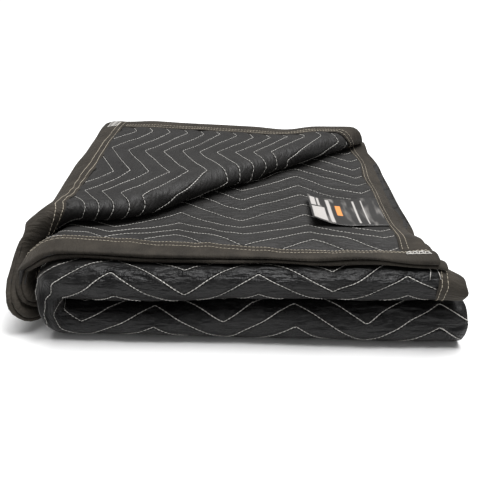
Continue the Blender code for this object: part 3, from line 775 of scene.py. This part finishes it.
def rowStitches(window):
    # a stitch is kept if its middle is in the window
    uLow, uHigh, vLow, vHigh = window
    edges = rowPhase(0.0, np.array((vLow, vHigh)))
    first, last = math.floor(edges[0]) - 2, math.ceil(edges[1]) + 2
    n, u = np.meshgrid(np.arange(first, last + 1), np.arange(uLow, uHigh, quilting["pitch"]),
                       indexing="ij")
    n, u = n.ravel(), u.ravel()
    stop = u + quilting["pitch"] * quilting["cover"]
    starts = np.stack((u, rowPlace(n, u)), axis=1)
    stops = np.stack((stop, rowPlace(n, stop)), axis=1)
    middle = (starts[:, 1] + stops[:, 1]) / 2
    kept = (middle > vLow) & (middle < vHigh) & (stop < uHigh)
    return starts[kept], stops[kept]


def rowHeights(starts, stops):
    middle = (starts + stops) / 2
    return faceHeight(middle[:, 0], middle[:, 1])


for name, window in rowWindows.items():
    rowStarts, rowStops = rowStitches(window)
    makeStitches("rows_" + name, rowStarts, rowStops, rowHeights(rowStarts, rowStops),
                                quilting, rowThread)

# Two rows of stitches along each tape's lip
tapeSewing = {"pitch": 0.0044, "cover": 0.84, "half": 0.00042, "lift": 0.00035, "sink": 0.0,
              "margins": (0.004, 0.006)}


def sewTapes():
    starts, stops, heights = [], [], []
    for edge in tapeEdges.values():
        (low, high), (before, after) = edge["span"], tapeSewing["margins"]
        s = np.arange(low + before, high - after, tapeSewing["pitch"])
        for row in tape["rows"]:
            w = np.full(len(s), row)
            start = flatPlace(edge, s, w)
            stop = flatPlace(edge, s + tapeSewing["pitch"] * tapeSewing["cover"], w)
            starts.append(np.stack(start, axis=1))
            stops.append(np.stack(stop, axis=1))
            heights.append(tapeHeight(w) + tapeRipple(*start))
    return makeStitches("tape_sewing", np.concatenate(starts), np.concatenate(stops),
                        np.concatenate(heights), tapeSewing, tapeThread)


sewTapes()

# Bar tacks: a zigzag of thick thread over the tape at each corner that shows
tack = {"half": 0.00055, "lift": 0.0010, "sink": -0.0004, "zigs": 4, "span": (0.006, 0.033),
        "reach": (0.012, 0.023)}


def sewTacks():
    # a zigzag path, and two straight lines that join its points on either side
    starts, stops = [], []
    fromEnd = np.linspace(*tack["span"], 2 * tack["zigs"] + 1)
    inward = np.where(np.arange(len(fromEnd)) % 2 == 0, *tack["reach"])
    for v in (width - inward, inward):
        path = np.stack((length - fromEnd, v), axis=1)
        for line in (path, path[::2], path[1::2]):
            starts.append(line[:-1])
            stops.append(line[1:])
    starts, stops = np.concatenate(starts), np.concatenate(stops)
    return makeStitches("bar_tacks", starts, stops,
                        np.full(len(starts), tape["height"] + tape["crown"]), tack, tackThread)


sewTacks()

# Two loose thread ends hang from the second layer's corner over the nose, each of two bent lengths
loose = {
    "half": 0.00038, "lift": 0.0010, "sink": -0.0008,
    "paths": (((0.0430, 0.965), (0.0420, 0.955), (0.0434, 0.9465)),
              ((0.0360, 0.965), (0.0342, 0.955), (0.0316, 0.9460))),
}


def makeLooseEnds():
    paths = np.array(loose["paths"])
    starts, stops = paths[:, :-1].reshape(-1, 2), paths[:, 1:].reshape(-1, 2)
    return makeStitches("loose_ends", starts, stops, np.full(len(starts), tape["height"]), loose,
                        tackThread)


makeLooseEnds()

# Label: a satin strip caught under the second layer's right tape, its free end curled up
label = {
    "span": (0.0325, 0.125), "lines": (0.194, 0.113), "thickness": 0.0006, "clearance": 0.0012,
    "curl": 0.010, "curlStart": 0.55, "curlSize": 0.2, "columns": 60, "rows": 36,
    "wave": 0.0012, "waveTurn": 9.0, "waveWidth": 0.08,
}
# Its plain design: pale blocks and lines, and one orange block, as shares of its length and width
labelLook = {
    "ground": (0.018, 0.017, 0.016, 1), "pale": (0.46, 0.44, 0.42, 1), "paintedGlint": (0.19, 0.18, 0.17, 1),
    "accent": (0.70, 0.27, 0.07, 1),
    "bars": ((0.03, 0.20, 0.06, 0.52), (0.03, 0.10, 0.58, 0.94), (0.12, 0.15, 0.58, 0.94),
             (0.24, 0.29, 0.06, 0.92), (0.60, 0.625, 0.10, 0.88), (0.72, 0.735, 0.06, 0.90)),
    "accentBar": (0.35, 0.42, 0.34, 0.66), "softness": 0.008,
    # glints: painted highlight, streaks of satin sheen mixed into the ground colour
    "glints": (7.0, 1.5), "glintRange": (0.50, 0.72),
    "ribs": (160.0, 20.0), "relief": 0.0003, "strength": 0.35,
    "constants": {"Roughness": 0.42, "Specular IOR Level": 0.5, "Sheen Weight": 0.1},
}


def makeLabelMaterial():
    look, soft = labelLook, labelLook["softness"]
    material, shader, uv, solid = newMaterial("labelSatin", look["constants"])
    x = uv.node("ShaderNodeSeparateXYZ", {}, {"Vector": uv}, 0)
    y = uv.node("ShaderNodeSeparateXYZ", {}, {"Vector": uv}, 1)

    def bar(low, high, bottom, top):
        inside = x.ramped(low - soft, low + soft) * (1 - x.ramped(high - soft, high + soft))
        return inside * y.ramped(bottom - soft, bottom + soft) * (1 - y.ramped(top - soft, top + soft))

    pale = bar(*look["bars"][0])
    for numbers in look["bars"][1:]:
        pale = pale.maths("MAXIMUM", bar(*numbers))
    # painted highlight: streaky satin glints mixed into the dark ground
    glints = uv.stretched(*look["glints"]).noise(1.0).ramped(*look["glintRange"])
    colour = pale.mixed(glints.mixed(look["ground"], look["paintedGlint"]), look["pale"])
    connect(shader, "Base Color", bar(*look["accentBar"]).mixed(colour, look["accent"]))
    ribs = uv.stretched(*look["ribs"]).noise(1.0, detail=1.0, roughness=0.5)
    connect(shader, "Normal", bumped(ribs, look["relief"], look["strength"]))
    return material


def makeLabel():
    # a flat grid, lifted by curl * (share past curlStart)^2 / curlSize and by a small sine wave, with
    # a second face for its thickness
    (near, free), (first, last) = label["span"], label["lines"]
    columns, rows = label["columns"], label["rows"]
    w, a = np.meshgrid(np.linspace(first, last, rows), np.linspace(near, free, columns), indexing="ij")
    share = (a - near) / (free - near)
    lift = label["curl"] * np.maximum(0, share - label["curlStart"]) ** 2 / label["curlSize"]
    wave = label["wave"] * np.sin(share * label["waveTurn"]) * share
    base = halfPly + label["clearance"] + lift + wave * (w - last) / label["waveWidth"]
    low = place(length - a, width - w, base).reshape(-1, 3)
    high = place(length - a, width - w, base + label["thickness"]).reshape(-1, 3)
    count = len(low)
    lowest = gridFaces(rows, columns)
    ring = np.concatenate((np.arange(columns), np.arange(1, rows) * columns + columns - 1,
                           (rows - 1) * columns + np.arange(columns - 2, -1, -1),
                           np.arange(rows - 2, 0, -1) * columns))
    after = np.roll(ring, -1)
    sides = np.stack((ring, after, after + count, ring + count), axis=1)
    uv = np.stack((1 - share.ravel(), (w.ravel() - last) / (first - last)), axis=1)
    return makePiece("sewn_label", np.concatenate((low, high)),
                     [lowest[:, ::-1], lowest + count, sides], np.concatenate((uv, uv)),
                     makeLabelMaterial())


labelPiece = makeLabel()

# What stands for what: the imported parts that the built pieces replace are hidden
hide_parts("quilted_panel")
for name, edge in tapeEdges.items():
    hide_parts(edge["node"])
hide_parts("label")

# Pale floor, soft light, and a camera at the photograph's angle
studio = {
    "floor": (0.93, 0.93, 0.93, 1), "floorSize": 9.0, "world": 0.24, "aim": (0.0, 0.0, 0.05),
    "key": {"at": (0.35, -0.25, 1.5), "size": 0.5, "power": 9.0},
    "top": {"at": (0.15, 0.30, 1.6), "size": 1.0, "power": 9.0},
    "sun": {"strength": 2.8, "angle": 50.0, "tilt": (-9.0, 3.0)},
    "camera": {"at": (0.0161, -0.7796, 0.4622), "pitch": 30.09, "focal": 44.31, "sensor": 36.0},
}


def makeFloor():
    half = studio["floorSize"] / 2
    mesh = bpy.data.meshes.new("floor")
    mesh.from_pydata([(-half, -half, 0), (half, -half, 0), (half, half, 0), (-half, half, 0)], [],
                     [(0, 1, 2, 3)])
    floor = addToScene("floor", mesh)
    constants = {"Base Color": studio["floor"], "Roughness": 0.9, "Specular IOR Level": 0.1}
    mesh.materials.append(newMaterial("paleFloor", constants)[0])


def makeLight(name):
    settings = studio[name]
    light = bpy.data.lights.new(name, "AREA")
    light.shape = "DISK"
    light.size = settings["size"]
    light.energy = settings["power"]
    lamp = addToScene(name, light)
    lamp.location = settings["at"]
    x, y, z = np.array(studio["aim"]) - np.array(settings["at"])
    lamp.rotation_euler = (math.atan2(math.hypot(x, y), -z), 0, math.atan2(-x, y))


def makeSun():
    settings = studio["sun"]
    sun = bpy.data.lights.new("sun", "SUN")
    sun.energy = settings["strength"]
    sun.angle = math.radians(settings["angle"])
    addToScene("sun", sun).rotation_euler = [math.radians(angle) for angle in (*settings["tilt"], 0.0)]


def makeWorld():
    world = bpy.data.worlds.new("studio")
    world.use_nodes = True
    background = world.node_tree.nodes["Background"].inputs
    background["Color"].default_value = (1, 1, 1, 1)
    background["Strength"].default_value = studio["world"]
    bpy.context.scene.world = world
    bpy.context.scene.view_settings.view_transform = "Standard"


def makeCamera():
    settings = studio["camera"]
    data = bpy.data.cameras.new("camera")
    data.lens = settings["focal"]
    data.sensor_width = settings["sensor"]
    camera = addToScene("camera", data)
    camera.location = settings["at"]
    camera.rotation_euler = (math.radians(90 - settings["pitch"]), 0, 0)
    bpy.context.scene.camera = camera


makeFloor()
makeLight("key")
makeLight("top")
makeSun()
makeWorld()
makeCamera()
print("studio made")
